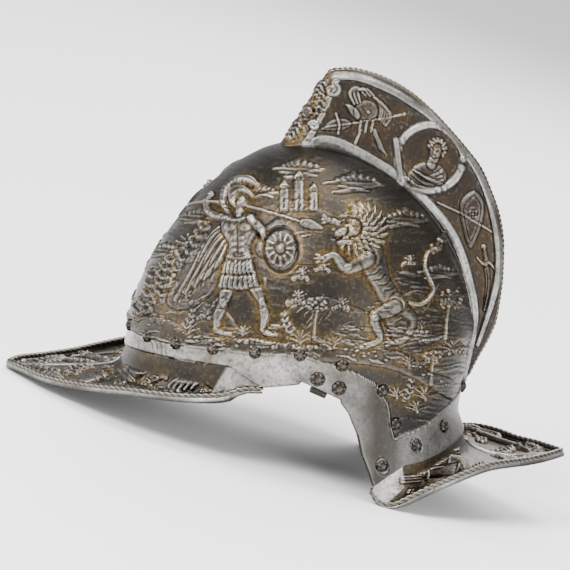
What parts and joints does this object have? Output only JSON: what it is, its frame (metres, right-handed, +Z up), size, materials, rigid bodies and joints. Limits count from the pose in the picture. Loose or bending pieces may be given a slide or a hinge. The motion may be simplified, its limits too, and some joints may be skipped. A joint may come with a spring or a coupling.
{
  "type": "embossed parade burgonet",
  "caption": "Open-faced parade helmet of embossed, partly gilt dark steel with a tall roped comb, a pointed peak and a pointed nape guard.",
  "frame": {"origin": "middle of the underside of the box round the helmet, on the surface it rests on", "axes": "+Z up, -Y towards the tip of the peak (the wearer's front), +X towards the wearer's left"},
  "size_m": [0.1896, 0.3688, 0.2544],
  "materials": {
    "embossed_steel": "embossed, dark russet patina with worn bright high places and traces of gilding",
    "rivet_steel": "rosette heads, worn and patinated",
    "plain_steel": "plain, dull with age"
  },
  "bodies": {
    "root": {"helmet_shell": "embossed_steel", "hinge_leaf_left": "plain_steel", "hinge_leaf_right": "plain_steel", "hinge_rivet_left_1": "rivet_steel", "hinge_rivet_left_2": "rivet_steel", "hinge_rivet_right_1": "rivet_steel", "hinge_rivet_right_2": "rivet_steel", "rivet_left_01": "rivet_steel", "rivet_left_02": "rivet_steel", "rivet_left_03": "rivet_steel", "rivet_left_04": "rivet_steel", "rivet_left_05": "rivet_steel", "rivet_left_06": "rivet_steel", "rivet_left_07": "rivet_steel", "rivet_left_08": "rivet_steel", "rivet_left_09": "rivet_steel", "rivet_left_10": "rivet_steel", "rivet_left_11": "rivet_steel", "rivet_left_12": "rivet_steel", "rivet_left_13": "rivet_steel", "rivet_right_01": "rivet_steel", "rivet_right_02": "rivet_steel", "rivet_right_03": "rivet_steel", "rivet_right_04": "rivet_steel", "rivet_right_05": "rivet_steel", "rivet_right_06": "rivet_steel", "rivet_right_07": "rivet_steel", "rivet_right_08": "rivet_steel", "rivet_right_09": "rivet_steel", "rivet_right_10": "rivet_steel", "rivet_right_11": "rivet_steel", "rivet_right_12": "rivet_steel", "rivet_right_13": "rivet_steel"}
  },
  "joints": []
}
